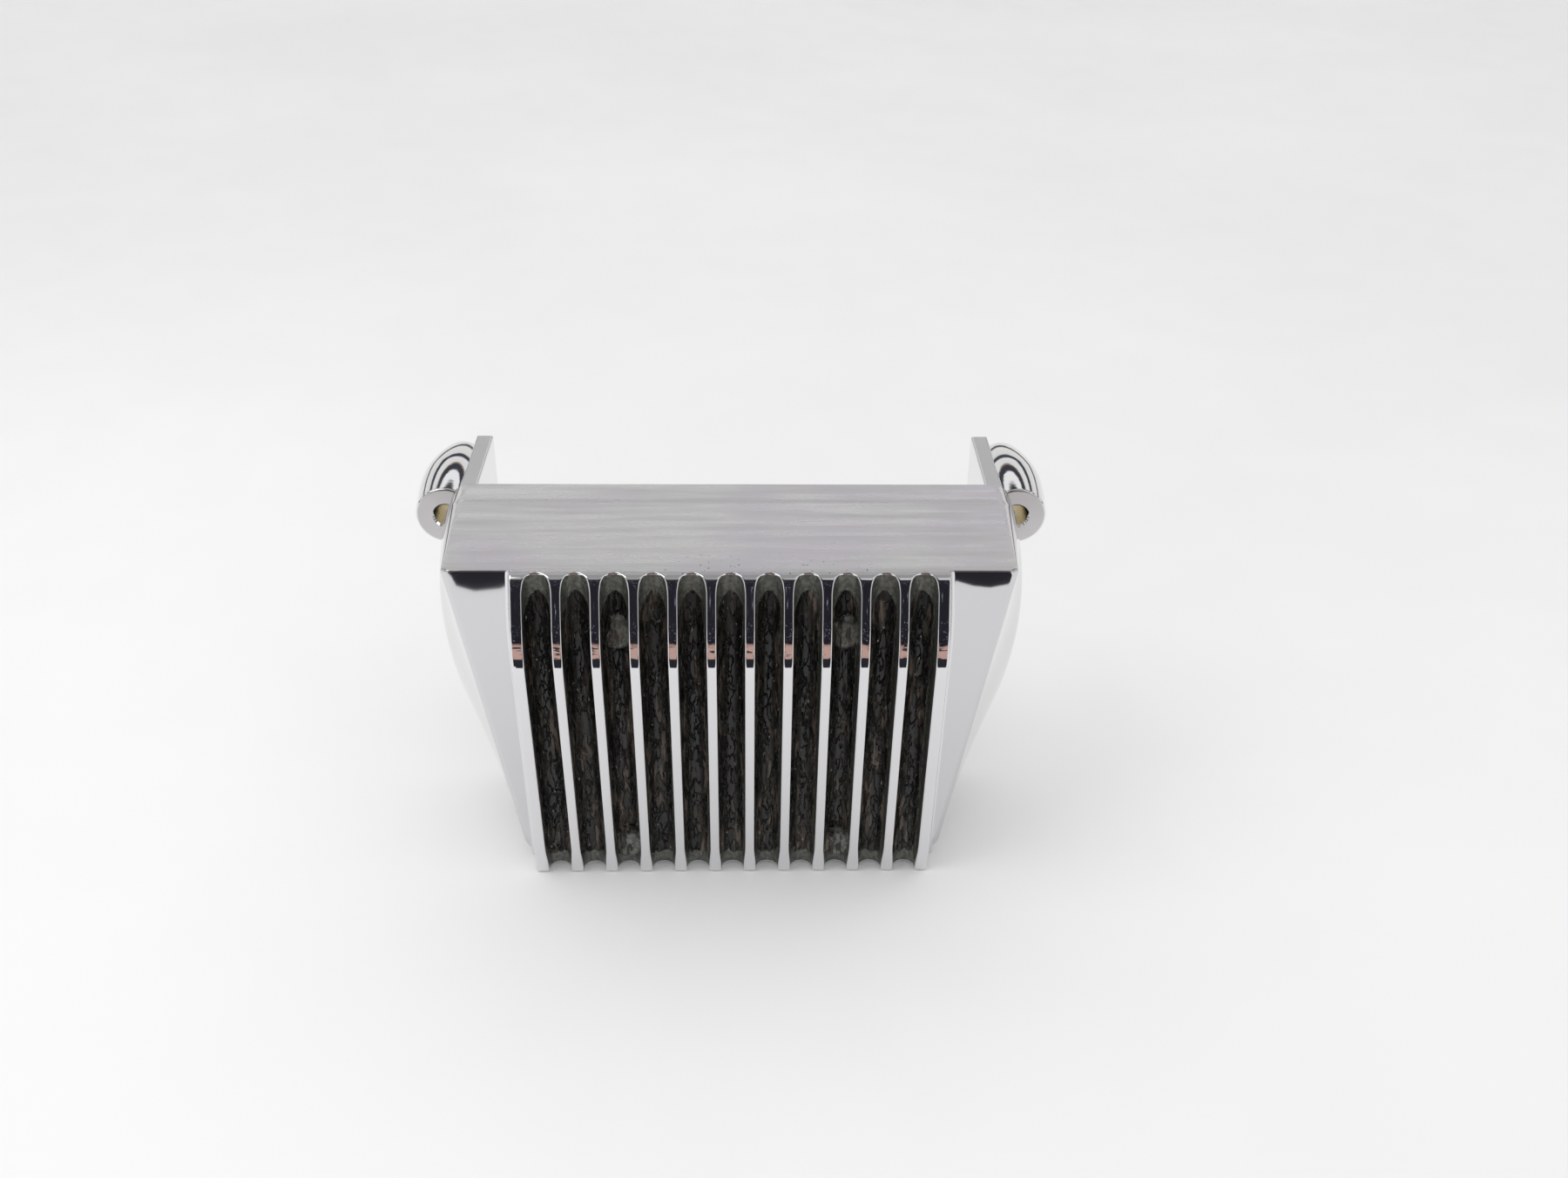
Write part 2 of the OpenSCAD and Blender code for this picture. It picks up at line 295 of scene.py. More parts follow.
def casting_body():
    """The hollow shell without its fins: front face, bevel, walls, rim, rebate, ledge and inside."""
    skin = Skin()

    def ring(outline, y):
        return [skin.vert((x, lean_y(z) + y if y < LEAN_LIMIT_Y else y, z)) for x, z in outline]

    def rings_between(start, end, start_y, end_y, steps):
        """Rings from one outline to another; start_y and end_y give y for a height."""
        made = []
        for t in steps:
            row = []
            for (x0, z0), (x1, z1) in zip(start, end):
                x, z = lerp(x0, x1, t), lerp(z0, z1, t)
                row.append(skin.vert((x, lerp(start_y(z0), end_y(z1), t), z)))
            made.append(row)
        return made

    rings = [ring(face_outline(top, side, side), y) for top, side, y in FRONT_EDGE]
    rings += rings_between(face_outline(0, 0), rim_outline(0.14), lambda z: lean_y(z) + FRONT_EDGE[-1][2],
                           lambda z: RIM_BAND_Y - 1.6, spread(0, 1, WALL_RINGS)[1:])
    ledge_y = COVER_DEPTH - LEDGE_DEPTH
    for edge, edge_y in ((BAND_STEP, RIM_BAND_Y), (REAR_EDGE, COVER_DEPTH), (LEDGE_EDGE, ledge_y)):
        rings += [ring(rim_outline(inset), edge_y + y) for inset, y in edge]
    rings += rings_between(rim_outline(4.4), face_outline(WALL, WALL, WALL), lambda z: ledge_y - 6,
                           lambda z: lean_y(z) + WALL + 1.5, spread(0, 1, INNER_RINGS))
    for inset, y in ((0.4, 0.5), (1.4, 0)):
        rings.append(ring(face_outline(WALL + inset, WALL + inset, WALL + inset), WALL + y))
    skin.solid(rings)
    boss_end = COVER_DEPTH - LEDGE_DEPTH - 0.2
    core_r, thread_r, boss_r, chamfer, thread_depth = 0.4, 2.5, 5.3, 0.4, 16
    for x in (-BOSS_X, BOSS_X):
        for z in BOSS_ZS:
            foot = floor_y(z) + WALL / 2
            profile = [(core_r, foot), (boss_r, foot), (boss_r, boss_end - chamfer),
                       (boss_r - chamfer, boss_end), (thread_r + 0.3, boss_end), (thread_r, boss_end - 0.3),
                       (thread_r, boss_end - thread_depth), (core_r, boss_end - thread_depth - 1)]
            lathe(skin, x, z, profile, 40)
    return skin.finish("cover_shell")


# ---------------------------------------------------------------- the fins and channels


def floor_y(z):
    """The deepest line of a channel."""
    return lerp(FLOOR_TOP_Y, FLOOR_BOTTOM_Y, -z / COVER_H)


def rounded_corner(a, c, b, distance, steps):
    """Points of a rounded corner at c, starting and ending at a distance from it towards a and b."""
    a, b, c = Vector(a), Vector(b), Vector(c)
    p = c + distance * (a - c).normalized()
    q = c + distance * (b - c).normalized()
    return [(1 - s) ** 2 * p + 2 * s * (1 - s) * c + s * s * q for s in steps]


TOP_CORNER_STEPS = (0, 0.1, 0.14, 0.18, 0.22, 0.27, 0.33, 0.4, 0.48, 0.57, 0.67, 0.78, 0.89, 1)
FIN_START, FIN_TOP = (0, 0), (-FIN_TOP_OUT, 0)
FIN_BEND, FIN_FOOT = (-FIN_BEND_OUT, -FIN_BEND_DROP), (-FIN_BOTTOM_OUT, -COVER_H)
TOP_CORNER = rounded_corner(FIN_START, FIN_TOP, FIN_BEND, FIN_TOP_OUT, TOP_CORNER_STEPS)
FIN_BEND_CURVE = rounded_corner(FIN_TOP, FIN_BEND, FIN_FOOT, FIN_BEND_ROUND, spread(0, 1, 24))
FIN_CURVE = TOP_CORNER + FIN_BEND_CURVE + [Vector(FIN_FOOT)]


def front_y(z):
    """The fins' fronts below their rounded tops: a forward slope, a rounded bend, a long slope back."""
    for (y0, z0), (y1, z1) in zip(FIN_CURVE, FIN_CURVE[1:]):
        if z1 <= z <= z0:
            return lerp(y0, y1, (z0 - z) / (z0 - z1)) if z0 > z1 else y0
    return FIN_FOOT[0]


EDGE_R = 0.55
LIP_R = 0.45
FLOOR_STEPS = 10
WALL_STEPS = 5
ARC_STEPS = 4
BACK_BURY = 0.5
CHANNEL_NARROWING = 0.4
FLUSH_HALF_W = 1.5
NO_LUMP = 99


def half_channel(z, front, grow):
    """Points (x, y, paint) from a channel's deepest line out onto the fin's front, x from the channel."""
    r = CHANNEL_R + grow - CHANNEL_NARROWING * smoothstep(10 - COVER_H, 1 - COVER_H, z)
    centre = floor_y(z) - CHANNEL_R
    if front - centre >= r - 0.01:
        xs = spread(0, FLUSH_HALF_W, FLOOR_STEPS + WALL_STEPS + ARC_STEPS)
        return [(x, front, 0) for x in xs]
    turn = math.acos(max((front - centre) / r, 0))
    length = r * turn + max(centre - front, 0)
    edge = min(EDGE_R, length * 0.6)
    quarter = r * math.pi / 2

    def along(distance):
        if distance < quarter:
            return r * math.sin(distance / r), centre + r * math.cos(distance / r)
        return r, centre + quarter - distance

    inner = length - edge
    points = [(*along(min(inner, quarter) * i / FLOOR_STEPS), 1) for i in range(FLOOR_STEPS + 1)]
    last = max(inner - 0.2, min(inner, quarter))
    for distance in spread(min(inner, quarter), last, WALL_STEPS - 1)[1:]:
        points.append((*along(distance), 1))
    points.append((*along(inner), 0))
    ax, ay = points[-1][:2]
    corner_x = r * math.sin(turn)
    for t in spread(0, 1, ARC_STEPS)[1:]:
        x = (1 - t) ** 2 * ax + 2 * t * (1 - t) * corner_x + t * t * (corner_x + edge)
        y = (1 - t) ** 2 * ay + 2 * t * (1 - t) * front + t * t * front
        points.append((x, y, 0))
    return points


def lump_y(x, z):
    """The round pads over the screw bosses, seen in two of the channels."""
    top, rounding = 2.6, 2.4
    best = NO_LUMP
    for lump_x in (-BOSS_X, BOSS_X):
        for lump_z in LUMP_ZS:
            rho = math.hypot(x - lump_x, z - lump_z)
            if rho < LUMP_R:
                over = max(rho - (LUMP_R - rounding), 0)
                fall = rounding - math.sqrt(rounding ** 2 - over ** 2)
                best = min(best, floor_y(lump_z) - top + fall)
    return best


def worn_at(x, z):
    """Where polishing has rubbed the channels' paint off: a pointed arch at the top, a little at the bottom.
    """
    arch_drop, arch_curve, low_rise, low_curve = 5.2, 0.45, 4.5, 0.1
    top = -arch_drop - arch_curve * x * x
    low = -COVER_H + low_rise + low_curve * x * x
    return max(smoothstep(top - 0.9, top + 0.5, z), smoothstep(low + 2, low - 2, z))


def fin_rows():
    """Rows as (z, front, grow): the rounded top, then down the fronts, closer at the bend and the lumps."""
    sink = 0.015
    rows = [(-sink, BACK_BURY, LIP_R)]
    for y, z in TOP_CORNER:
        depth = min(max(-z - 0.03, 0), LIP_R)
        rows.append((z - sink, y, LIP_R - math.sqrt(LIP_R ** 2 - (LIP_R - depth) ** 2)))
    close, middling, wide = 0.4, 0.8, 1.1
    z = rows[-1][0] - close
    while z > -COVER_H + LIP_R + 0.6:
        rows.append((z, front_y(z), 0))
        near_lump = any(abs(z - lump_z) < LUMP_R + 1 for lump_z in LUMP_ZS)
        z -= close if near_lump or z > -12 else middling if z > -30 else wide
    for a in (0, 20, 40, 65, 90):
        t = math.radians(a)
        grow = LIP_R * (1 - math.cos(t))
        z = -COVER_H + LIP_R * (1 - math.sin(t))
        rows.append((z, front_y(z) + grow, grow))
    return rows


def fin_block():
    """The fins as one grid: a row of cross-sections from the top to the bottom, closed all round."""
    skin = Skin()
    fillet, fillet_steps = 0.9, 4
    grid, side_count = [], 0
    channel_xs = [(i - (FIN_COUNT - 2) / 2) * FIN_PITCH for i in range(FIN_COUNT - 1)]
    for z, front, grow in fin_rows():
        half = half_channel(z, front, grow)
        cheek = lean_y(z)
        row = []
        edge = min(EDGE_R, cheek + 0.6 - front)

        def put(x, y, paint):
            if z > -LIP_R - 0.1 or z < -COVER_H + LIP_R + 0.1:
                paint = 0
            across = x - round(x / FIN_PITCH) * FIN_PITCH
            # The channels' right walls are marked as bare grey metal: painted light, where the key light from
            # the left falls on them.
            wear_and_shading = max(worn_at(across, z), 0.9 * smoothstep(2.7, 3.5, across))
            lump = lump_y(x, z) if paint else NO_LUMP
            if lump < y:
                # The pads get half-worn paint, and their right side is painted lighter: painted light.
                y, wear_and_shading = lump, 0.52 + 0.09 * across
            row.append(skin.vert((x, y, z), paint, wear_and_shading))

        def outer_x(y):
            return BLOCK_HALF_W - 0.3 - grow + FIN_DRAFT * max(y - front, 0)

        def outside():
            """The block's outer side, from its front corner back to the cheek."""
            points = []
            for t in spread(0, 1, ARC_STEPS)[:-1]:
                x = outer_x(front) - edge * (1 - t) ** 2
                points.append((x, front + edge * t * t))
            for _, y, _ in reversed(half[:FLOOR_STEPS + WALL_STEPS + 1]):
                y = max(y, min(front + edge, cheek))
                points.append((outer_x(y), y))
            for i in range(fillet_steps + 1):
                a = math.pi / 2 * i / fillet_steps
                y = max(cheek - fillet * (1 - math.sin(a)) + 0.02, points[-1][1])
                points.append((outer_x(y) + fillet * (1 - math.cos(a)), y))
            points.append((outer_x(cheek) + fillet, cheek + BACK_BURY))
            return [(x, max(y, front)) for x, y in points]

        side = outside()
        for x, y in reversed(side):
            put(-x, y, 0)
        for xc in channel_xs:
            for x, y, paint in reversed(half[1:]):
                put(xc - x, y, paint)
            for x, y, paint in half:
                put(xc + x, y, paint)
        for x, y in side:
            put(x, y, 0)
        grid.append(row)
        side_count = len(side)
    for a, b in zip(grid, grid[1:]):
        skin.strip(a, b)
        skin.face([a[0], a[-1], b[-1], b[0]])
    cap_block(skin, grid[-1], side_count)
    bmesh.ops.remove_doubles(skin.bm, verts=skin.bm.verts, dist=0.5e-6)
    return skin.finish("cover_fins")


def cap_block(skin, row, side_count):
    """Closes the bottom: a strip across each fin, then one face behind the channels."""
    reach = FLOOR_STEPS + WALL_STEPS + ARC_STEPS
    channel = 2 * reach + 1
    centres = [side_count + reach + i * channel for i in range(FIN_COUNT - 1)]
    outer_left = side_count - 1
    outer_right = len(row) - side_count
    left_walls = [list(range(c, c + reach + 1)) for c in centres]
    right_walls = [list(range(c, c - reach - 1, -1)) for c in centres]
    lefts = [list(range(outer_left - reach + 1, outer_left + 1))] + left_walls
    rights = right_walls + [list(range(outer_right + reach - 1, outer_right - 1, -1))]
    for left, right in zip(lefts, rights):
        n = min(len(left), len(right))
        a, b = left[-n:], right[-n:]
        for i in range(n - 1):
            skin.face([row[a[i]], row[b[i]], row[b[i + 1]], row[a[i + 1]]])
        if len(left) != len(right):
            far = (left if len(left) > n else right)[0]
            if len(left) > n:
                skin.face([row[far], row[b[0]], row[a[0]]])
            else:
                skin.face([row[a[0]], row[far], row[b[0]]])
    behind = list(range(0, outer_left - reach + 2)) + centres + list(range(outer_right + reach - 1, len(row)))
    skin.face([row[i] for i in behind])


# ---------------------------------------------------------------- the ears


def rounded_plate(skin, x0, x1, z0, z1, y0, y1, r, edge=0.3):
    """A flat plate with round corners and slightly broken edges."""
    corners = ((x1 - r, z1 - r, 90), (x1 - r, z0 + r, 0), (x0 + r, z0 + r, -90), (x0 + r, z1 - r, -180))
    rings = []
    for inset, y in ((edge, y0), (0, y0 + edge), (0, y1 - edge), (edge, y1)):
        points = []
        for cx, cz, a in corners:
            points += arc(cx, cz, r - inset, a, a - 90, 8)
        rings.append([skin.vert((x, y, z)) for x, z in points])
    skin.solid(rings)


def ear(side, name):
    """A long bolt ear: domed barrel, upright web and the foot that bolts to the frame."""
    front_r = 0.7
    web_in_x, web_top_z, web_low_z = 72.6, -4.5, -18
    strip_out_x, strip_top_z = 77.6, -1.6
    foot_in_x, foot_out_x, foot_low_z, foot_top_z, foot_depth, foot_r = 58.5, 76, -36, -4, 3.5, 5
    bolt_r, bolt_chamfer, bush_r, bush_front = 3.4, 0.5, 4.95, 1.5
    screw_x, screw_zs, screw_r = 65, (-12, -29), 2.55
    fall_power = 1.8
    y0 = COVER_DEPTH
    widest = EAR_R + EAR_BULGE
    dome_y = EAR_BACK_Y - EAR_DOME
    profile = []
    for a in (0, 18, 36, 54, 72, 90):
        a = math.radians(a)
        profile.append((EAR_R - front_r * (1 - math.sin(a)), y0 + front_r * (1 - math.cos(a))))
    for t in spread(0, 1, 20)[1:]:
        profile.append((EAR_R + EAR_BULGE * math.sin(math.pi / 2 * t), lerp(y0 + front_r, dome_y, t)))
    for t in spread(0, 1, 24)[1:]:
        profile.append((widest - (widest - EAR_BACK_R) * t ** fall_power, lerp(dome_y, EAR_BACK_Y, t)))
    barrel = Skin()
    solid_lathe(barrel, side * EAR_X, EAR_Z, profile, 96)
    piece = barrel.finish(name)
    trim = Skin()
    x_in, x_out = sorted((side * (web_in_x - 6), side * web_in_x))
    rounded_plate(trim, x_in, x_out, -30, 10, y0 - 1, EAR_BACK_Y + 1, 0.5)
    boolean(piece, trim.finish("trim"), "DIFFERENCE")
    for out_x, top_z in ((EAR_X, web_top_z), (strip_out_x, strip_top_z)):
        web = Skin()
        x_in, x_out = sorted((side * web_in_x, side * out_x))
        rounded_plate(web, x_in, x_out, web_low_z, top_z, y0, EAR_BACK_Y, 0.6, 0.4)
        boolean(piece, web.finish("web"), "UNION")
    foot = Skin()
    x_in, x_out = sorted((side * foot_in_x, side * foot_out_x))
    rounded_plate(foot, x_in, x_out, foot_low_z, foot_top_z, y0, y0 + foot_depth, foot_r)
    boolean(piece, foot.finish("foot"), "UNION")
    bore = Skin()
    mouth_r = bolt_r + bolt_chamfer
    bore_profile = [(mouth_r, y0 - 1), (mouth_r, y0), (bolt_r, y0 + bolt_chamfer), (bolt_r, y0 + bush_front),
                    (bush_r, y0 + bush_front), (bush_r, EAR_BACK_Y + 1)]
    solid_lathe(bore, side * EAR_X, EAR_Z, bore_profile, 64)
    for z in screw_zs:
        screw_hole = [(screw_r, y0 - 1), (screw_r, y0 + foot_depth + 1)]
        solid_lathe(bore, side * screw_x, z, screw_hole, 40)
    boolean(piece, bore.finish("bore"), "DIFFERENCE")
    return piece


# ---------------------------------------------------------------- materials


def node(tree, kind, inputs=None, **settings):
    """Adds a shader node; an input is either a socket to link or a plain value."""
    made = tree.nodes.new("ShaderNode" + kind)
    for key, value in settings.items():
        setattr(made, key, value)
    for key, value in (inputs or {}).items():
        if isinstance(value, bpy.types.NodeSocket):
            tree.links.new(value, made.inputs[key])
        else:
            made.inputs[key].default_value = value
    return made


def math_node(tree, operation, a, b=0.0):
    return node(tree, "Math", {0: a, 1: b}, operation=operation).outputs[0]


def product(tree, first, *others):
    for other in others:
        first = math_node(tree, "MULTIPLY", first, other)
    return first


def mix_value(tree, factor, a, b):
    return node(tree, "Mix", {0: factor, 2: a, 3: b}, data_type="FLOAT").outputs[0]


def mix_color(tree, factor, a, b):
    return node(tree, "Mix", {0: factor, 6: a, 7: b}, data_type="RGBA").outputs[2]


def place(tree, scale):
    """Object coordinates in metres, multiplied by scale."""
    coords = node(tree, "TexCoord").outputs["Object"]
    return node(tree, "Mapping", {"Vector": coords, "Scale": scale}).outputs[0]


def noise(tree, vector, scale, detail=3, rough=0.5):
    settings = {"Vector": vector, "Scale": scale, "Detail": detail, "Roughness": rough}
    return node(tree, "TexNoise", settings).outputs[0]


def ramp(tree, value, low, high, to_low=0.0, to_high=1.0):
    inputs = {"Value": value, "From Min": low, "From Max": high, "To Min": to_low, "To Max": to_high}
    return node(tree, "MapRange", inputs, clamp=True, interpolation_type="SMOOTHSTEP").outputs[0]


def attribute(tree, name):
    return node(tree, "Attribute", attribute_name=name).outputs["Fac"]


def axis_value(tree, vector, axis):
    return node(tree, "SeparateXYZ", {0: vector}).outputs[axis]


def surface(name):
    """A new material: its tree and its Principled shader."""
    material = bpy.data.materials.new(name)
    material.use_nodes = True
    tree = material.node_tree
    tree.nodes.clear()
    shader = node(tree, "BsdfPrincipled")
    out = node(tree, "OutputMaterial")
    tree.links.new(shader.outputs[0], out.inputs[0])
    return material, tree, shader


def connect(tree, shader, **sockets):
    for name, value in sockets.items():
        socket = shader.inputs[name.replace("_", " ")]
        if isinstance(value, bpy.types.NodeSocket):
            tree.links.new(value, socket)
        else:
            socket.default_value = value


def bump(tree, height, strength, distance):
    inputs = {"Height": height, "Strength": strength, "Distance": distance}
    return node(tree, "Bump", inputs).outputs[0]


def cast_chrome(name, shaded_tone):
    """Old polished chrome: hazy on top, mirror-bright elsewhere, black dirty paint in the channels. Its colour
    is split by facing, the up-facing tops lighter than the sides, which is painted light and shade.
    """
    material, tree, shader = surface(name)
    even = place(tree, (1, 1, 1))
    streaked = place(tree, (1, 14, 14))
    upright = place(tree, (1, 1, 0.12))
    normal = node(tree, "NewGeometry").outputs["Normal"]
    facing_up = ramp(tree, axis_value(tree, normal, "Z"), 0.85, 0.97)
    clouds = noise(tree, even, 38, 2, 0.45)
    streaks = noise(tree, streaked, 22, 4, 0.6)
    fine = noise(tree, even, 900, 2, 0.5)

    # Chrome with lilac clouds and fine polishing streaks; up-facing faces take this lighter colour and the
    # sides a darker grey, a split of painted light and shade
    clean = mix_color(tree, ramp(tree, clouds, 0.42, 0.66), (0.93, 0.93, 0.93, 1), (0.88, 0.85, 0.91, 1))
    lit_hazy_top = mix_color(tree, ramp(tree, streaks, 0.42, 0.75), clean, (0.81, 0.80, 0.80, 1))
    chrome = mix_color(tree, facing_up, (shaded_tone, shaded_tone, shaded_tone + 0.012, 1), lit_hazy_top)
    haze_rough = ramp(tree, streaks, 0.3, 0.7, 0.24, 0.38)
    chrome_rough = mix_value(tree, facing_up, ramp(tree, clouds, 0.3, 0.7, 0.02, 0.045), haze_rough)

    # Small pits, gathered along the middle of the top's front edge
    cells = node(tree, "TexVoronoi", {"Vector": even, "Scale": 900.0, "Randomness": 1.0})
    dots = ramp(tree, cells.outputs["Distance"], 0.1, 0.28, 1.0, 0.0)
    chosen = ramp(tree, axis_value(tree, cells.outputs["Color"], "X"), 0.80, 0.82)
    position = node(tree, "TexCoord").outputs["Object"]
    x = axis_value(tree, position, "X")
    y = axis_value(tree, position, "Y")
    near_front = ramp(tree, y, FACE.y + 0.002, FACE.y + 0.011, 1.0, 0.0)
    from_middle = math_node(tree, "ABSOLUTE", math_node(tree, "SUBTRACT", x, 0.008))
    near_middle = ramp(tree, from_middle, 0.014, 0.045, 1.0, 0.0)
    patchy = ramp(tree, noise(tree, even, 150, 2), 0.45, 0.6)
    pits = product(tree, dots, chosen, near_front, near_middle, patchy, facing_up)
    chrome = mix_color(tree, pits, chrome, (0.10, 0.09, 0.08, 1))

    # Black paint in the channels, flaking and streaked with brown dirt, rubbed bare at both ends; the same
    # mask also paints the channels' right walls and the pads' right sides as lit bare metal, which is painted
    # light
    flakes = noise(tree, place(tree, (1, 1, 0.32)), 620, 3, 0.55)
    chunks = ramp(tree, flakes, 0.44, 0.56)
    dirt = noise(tree, upright, 330, 4, 0.65)
    streak = noise(tree, upright, 900, 2, 0.5)
    brown = mix_color(tree, ramp(tree, streak, 0.45, 0.6), (0.034, 0.027, 0.021, 1), (0.135, 0.104, 0.080, 1))
    dirty = product(tree, ramp(tree, dirt, 0.44, 0.62), ramp(tree, flakes, 0.62, 0.46))
    black = mix_color(tree, dirty, (0.0055, 0.0055, 0.005, 1), brown)
    specks = ramp(tree, noise(tree, place(tree, (1, 1, 0.45)), 1100, 2, 0.5), 0.70, 0.76)
    black = mix_color(tree, specks, black, (0.34, 0.31, 0.29, 1))
    bare_and_lit = mix_color(tree, ramp(tree, fine, 0.35, 0.7), (0.105, 0.112, 0.098, 1), (0.19, 0.195, 0.175, 1))
    wear_and_light_edge = math_node(tree, "ADD", attribute(tree, "wear_and_painted_light"), ramp(tree, flakes, 0.3, 0.7, -0.3, 0.3))
    wear_and_painted_light = ramp(tree, wear_and_light_edge, 0.4, 0.6)
    channel = mix_color(tree, wear_and_painted_light, black, bare_and_lit)
    channel_rough = mix_value(tree, wear_and_painted_light, ramp(tree, dirt, 0.4, 0.7, 0.24, 0.5), 0.36)
    channel_metal = mix_value(tree, wear_and_painted_light, 0.0, 0.7)

    painted = ramp(tree, attribute(tree, "paint"), 0.35, 0.6)
    unworn_unlit = math_node(tree, "SUBTRACT", 1.0, product(tree, wear_and_painted_light, 0.85))
    relief = math_node(tree, "SUBTRACT", product(tree, chunks, unworn_unlit, painted), product(tree, pits, 1.5))
    connect(tree, shader, Base_Color=mix_color(tree, painted, chrome, channel),
            Metallic=mix_value(tree, painted, 1.0, channel_metal),
            Roughness=mix_value(tree, painted, chrome_rough, channel_rough),
            Normal=bump(tree, relief, 1.0, 0.0005))
    return material


def ear_chrome():
    """Mirror chrome, plainer on the ears' flat faces; the front-facing faces are painted a darker grey than
    the rest, which is painted light and shade.
    """
    material, tree, shader = surface("ear_chrome")
    even = place(tree, (1, 1, 1))
    normal = node(tree, "NewGeometry").outputs["Normal"]
    shaded_flat_front = ramp(tree, axis_value(tree, normal, "Y"), -0.9, -0.97)
    from_middle = math_node(tree, "ABSOLUTE", axis_value(tree, even, "X"))
    facing_up = ramp(tree, axis_value(tree, normal, "Z"), 0.995, 0.9995)
    flat_top = product(tree, facing_up, ramp(tree, from_middle, 0.0776, 0.0772))
    flat = math_node(tree, "MAXIMUM", shaded_flat_front, flat_top)
    clouds = noise(tree, even, 90, 3)
    # Front-facing faces darker grey, the rest lighter: painted light and shade.
    color = mix_color(tree, shaded_flat_front, (0.82, 0.82, 0.83, 1), (0.67, 0.67, 0.68, 1))
    bright_rough = ramp(tree, clouds, 0.3, 0.7, 0.03, 0.08)
    flat_rough = ramp(tree, clouds, 0.3, 0.7, 0.28, 0.36)
    rough = mix_value(tree, flat, bright_rough, flat_rough)
    connect(tree, shader, Base_Color=color, Metallic=1.0, Roughness=rough,
            Normal=bump(tree, noise(tree, even, 400, 3), 0.04, 0.0003))
    return material


def plain_surface(name, dark, light, metallic, rough, scale, relief, stretch=(1, 1, 1)):
    """A material whose colour, roughness and relief vary with one noise."""
    material, tree, shader = surface(name)
    where = place(tree, stretch)
    broad = noise(tree, where, scale, 3)
    fine = noise(tree, where, scale * 12, 3)
    color = mix_color(tree, ramp(tree, broad, 0.35, 0.65), (*dark, 1), (*light, 1))
    connect(tree, shader, Base_Color=color,
            Metallic=metallic, Roughness=ramp(tree, fine, 0.3, 0.7, rough[0], rough[1]),
            Normal=bump(tree, fine, relief, 0.0003))
    return material


# ---------------------------------------------------------------- stage


def dark_cloth():
    """Navy cloth with a few pale specks, and tan patches on its lower half."""
    material, tree, shader = surface("dark_cloth")
    even = place(tree, (1, 1, 1))
    position = node(tree, "TexCoord").outputs["Object"]
    y = axis_value(tree, position, "Y")
    z = axis_value(tree, position, "Z")
    specks = ramp(tree, noise(tree, even, 150, 2), 0.66, 0.72)
    specks = product(tree, specks, ramp(tree, z, FACE.z - 0.09, FACE.z - 0.05))
    color = mix_color(tree, specks, (0.008, 0.008, 0.016, 1), (0.50, 0.47, 0.62, 1))
    far = ramp(tree, y, FACE.y - 0.178, FACE.y - 0.170, 1.0, 0.0)
    low = ramp(tree, z, FACE.z - 0.10, FACE.z - 0.07, 1.0, 0.0)
    patches = ramp(tree, noise(tree, even, 19, 2), 0.40, 0.47)
    tan = product(tree, far, low, patches)
    connect(tree, shader, Base_Color=mix_color(tree, tan, color, (0.52, 0.33, 0.28, 1)), Roughness=1.0)
    return material


def card(name, corners, material):
    """A flat card that only reflections see."""
    mesh = bpy.data.meshes.new(name)
    mesh.from_pydata([to_row(c) for c in corners], [], [range(len(corners))])
    piece = bpy.data.objects.new(name, mesh)
    bpy.context.collection.objects.link(piece)
    mesh.materials.append(material)
    piece.visible_camera = False
    piece.visible_diffuse = False
    piece.visible_shadow = False
    piece.visible_transmission = False


def area_light(name, place_mm, target_mm, size, power):
    light = bpy.data.lights.new(name, "AREA")
    light.shape = "RECTANGLE"
    light.size, light.size_y = size
    light.energy = power
    lamp = bpy.data.objects.new(name, light)
    bpy.context.collection.objects.link(lamp)
    lamp.location = to_row(place_mm)
    aim = to_row(target_mm) - lamp.location
    lamp.rotation_mode = "QUATERNION"
    lamp.rotation_quaternion = aim.to_track_quat("-Z", "Y")


# ---------------------------------------------------------------- the object

shell = casting_body()
fins = fin_block()
# The shell's chrome is given a darker grey than the fins' as painted shade, for the dimmer reflections on the
# cheeks.
for piece, name, shaded_tone in ((shell, "shell_chrome", 0.67), (fins, "fin_chrome", 0.77)):
    shade(piece)
    piece.data.materials.append(cast_chrome(name, shaded_tone))
    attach(piece, "root")
    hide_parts("finned_cover")

mirror_chrome = ear_chrome()
for side, name in ((-1, "left_ear"), (1, "right_ear")):
    piece = ear(side, name + "_detailed")
    shade(piece)
    piece.data.materials.clear()
    piece.data.materials.append(mirror_chrome)
    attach(piece, "root")
    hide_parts(name)

rubber = plain_surface("aged_rubber", (0.012, 0.012, 0.012), (0.03, 0.029, 0.028), 0.0, (0.62, 0.85), 120, 0.3)
black_paint = plain_surface("black_paint", (0.014, 0.014, 0.015), (0.024, 0.023, 0.022), 0.0, (0.32, 0.46),
                            60, 0.15)
zinc = plain_surface("bright_zinc", (0.52, 0.53, 0.55), (0.66, 0.65, 0.62), 1.0, (0.22, 0.38), 160, 0.12)
brass = plain_surface("turned_brass", (0.86, 0.79, 0.63), (0.95, 0.90, 0.77), 1.0, (0.18, 0.34), 140, 0.1,
                      (1, 12, 1))
CAD_LOOKS = {
    rubber: ("edge_seal", "isolation_grommets"),
    black_paint: ("back_frame",),
    zinc: ("grommet_sleeves", "cover_washers", "cover_lock_washers", "cover_screws",
           "ear_washers", "ear_lock_washers", "ear_screws"),
    brass: ("left_ear_bush", "right_ear_bush"),
}
for look, names in CAD_LOOKS.items():
    for name in names:
        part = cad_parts[name]
        for slot in part.material_slots:
            slot.link = "OBJECT"
            slot.material = look

# ---------------------------------------------------------------- floor, light and camera

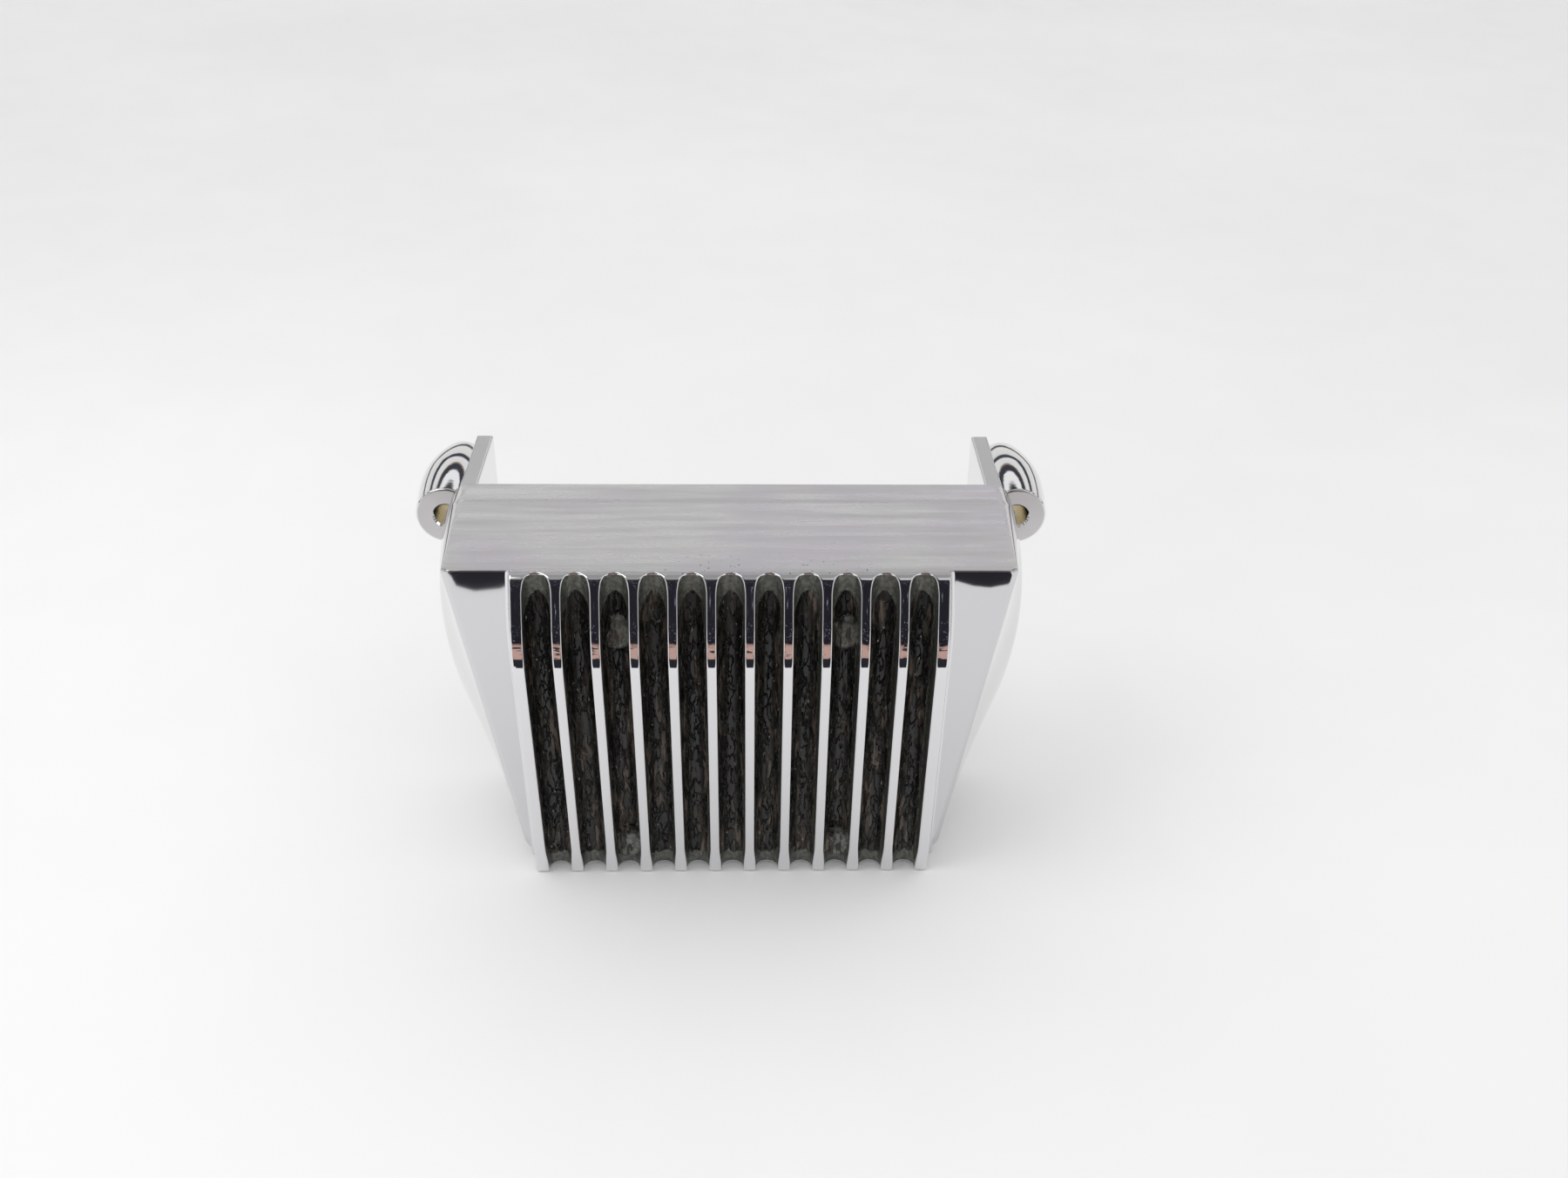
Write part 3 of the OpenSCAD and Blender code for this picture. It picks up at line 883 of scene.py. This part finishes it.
FLOOR_GAP = 0.4
FLOOR_Z = -COVER_H - FLOOR_GAP
HALF_FLOOR = 4000
floor_mesh = bpy.data.meshes.new("floor")
floor_corners = [(-HALF_FLOOR, -HALF_FLOOR), (HALF_FLOOR, -HALF_FLOOR), (HALF_FLOOR, HALF_FLOOR),
                 (-HALF_FLOOR, HALF_FLOOR)]
floor_mesh.from_pydata([to_row((x, y, FLOOR_Z)) for x, y in floor_corners], [], [(0, 1, 2, 3)])
floor = bpy.data.objects.new("floor", floor_mesh)
bpy.context.collection.objects.link(floor)
paper = plain_surface("pale_paper", (0.83, 0.83, 0.83), (0.86, 0.855, 0.855), 0.0, (0.7, 0.9), 3, 0.0)
floor_mesh.materials.append(paper)

CARD_Z = FLOOR_Z + 0.2
CLOTH_Y = -420
CLOTH_HALF_W = 330
CLOTH_TOP = 430
# The dark floor card's near edge as (x, y)
NEAR_EDGE = ((-103, -127), (-100, -121), (-93, -118), (-84, -119.5), (-79, -124), (-77, -116), (77, -116),
             (80, -124), (86, -121), (92, -120), (99, -122), (103, -127))
cloth_left, cloth_right = (-CLOTH_HALF_W, CLOTH_Y, CARD_Z), (CLOTH_HALF_W, CLOTH_Y, CARD_Z)
cloth_top = [(CLOTH_HALF_W, CLOTH_Y, CLOTH_TOP), (-CLOTH_HALF_W, CLOTH_Y, CLOTH_TOP)]
cloth = dark_cloth()
card("dark_floor_card", [(x, y, CARD_Z) for x, y in NEAR_EDGE] + [cloth_right, cloth_left], cloth)
card("dark_back_card", [cloth_left, cloth_right] + cloth_top, cloth)

area_light("key", (-420, -150, 620), (0, 20, -50), (0.45, 0.45), 1.4)
area_light("fill", (380, -420, 520), (0, 0, -50), (0.6, 0.6), 0.4)

world = bpy.data.worlds.new("studio")
bpy.context.scene.world = world
world.use_nodes = True
sky = world.node_tree
sky.nodes.clear()
direction = node(sky, "TexCoord").outputs["Generated"]
height = axis_value(sky, direction, "Z")
glossy = node(sky, "LightPath").outputs["Is Glossy Ray"]
bands = node(sky, "ValToRGB", {0: height}).outputs[0]
stops = bands.node.color_ramp
# What the chrome reflects, from the horizon and below it (0) to straight above (1)
levels = (
    (0.0, (0.10, 0.10, 0.09)), (0.03, (0.12, 0.11, 0.10)), (0.07, (0.82, 0.80, 0.80)),
    (0.27, (0.74, 0.75, 0.72)), (0.30, (0.06, 0.06, 0.08)), (0.37, (0.06, 0.06, 0.08)),
    (0.395, (0.82, 0.82, 0.82)), (0.51, (0.80, 0.79, 0.79)), (0.525, (0.30, 0.24, 0.15)),
    (0.545, (0.05, 0.052, 0.07)), (0.60, (0.05, 0.052, 0.07)), (0.615, (0.92, 0.92, 0.92)),
    (0.67, (0.92, 0.92, 0.92)), (0.69, (0.03, 0.03, 0.03)), (0.76, (0.05, 0.05, 0.05)),
    (0.80, (0.42, 0.42, 0.42)), (1.0, (0.34, 0.34, 0.34)))
while len(stops.elements) < len(levels):
    stops.elements.new(0.5)
for element, (spot, level) in zip(stops.elements, levels):
    element.position = spot
    element.color = (*level, 1)
even_light = (0.94, 0.94, 0.945, 1)
light_color = mix_color(sky, glossy, even_light, bands)
background = node(sky, "Background", {0: light_color, 1: 1.0}).outputs[0]
world_out = node(sky, "OutputWorld")
sky.links.new(background, world_out.inputs[0])

CAMERA_PLACE = (4.1, -341.75, 203.89)
CAMERA_PITCH = math.radians(31.5)
CAMERA_YAW = math.atan(43 / 1770)
forward = Vector((0, math.cos(CAMERA_PITCH), -math.sin(CAMERA_PITCH)))
up = Vector((0, math.sin(CAMERA_PITCH), math.cos(CAMERA_PITCH)))
turn = Matrix.Rotation(-CAMERA_YAW, 3, up)
forward = turn @ forward
right = forward.cross(up)
camera_data = bpy.data.cameras.new("camera")
camera_data.sensor_width = 36
camera_data.lens = 35.4
camera_data.clip_start = 0.01
camera_data.clip_end = 20
camera = bpy.data.objects.new("camera", camera_data)
bpy.context.collection.objects.link(camera)
facing = Matrix((right, up, -forward)).transposed().to_4x4()
camera.matrix_world = Matrix.Translation(to_row(CAMERA_PLACE)) @ facing
bpy.context.scene.camera = camera
bpy.context.scene.view_settings.view_transform = "Standard"
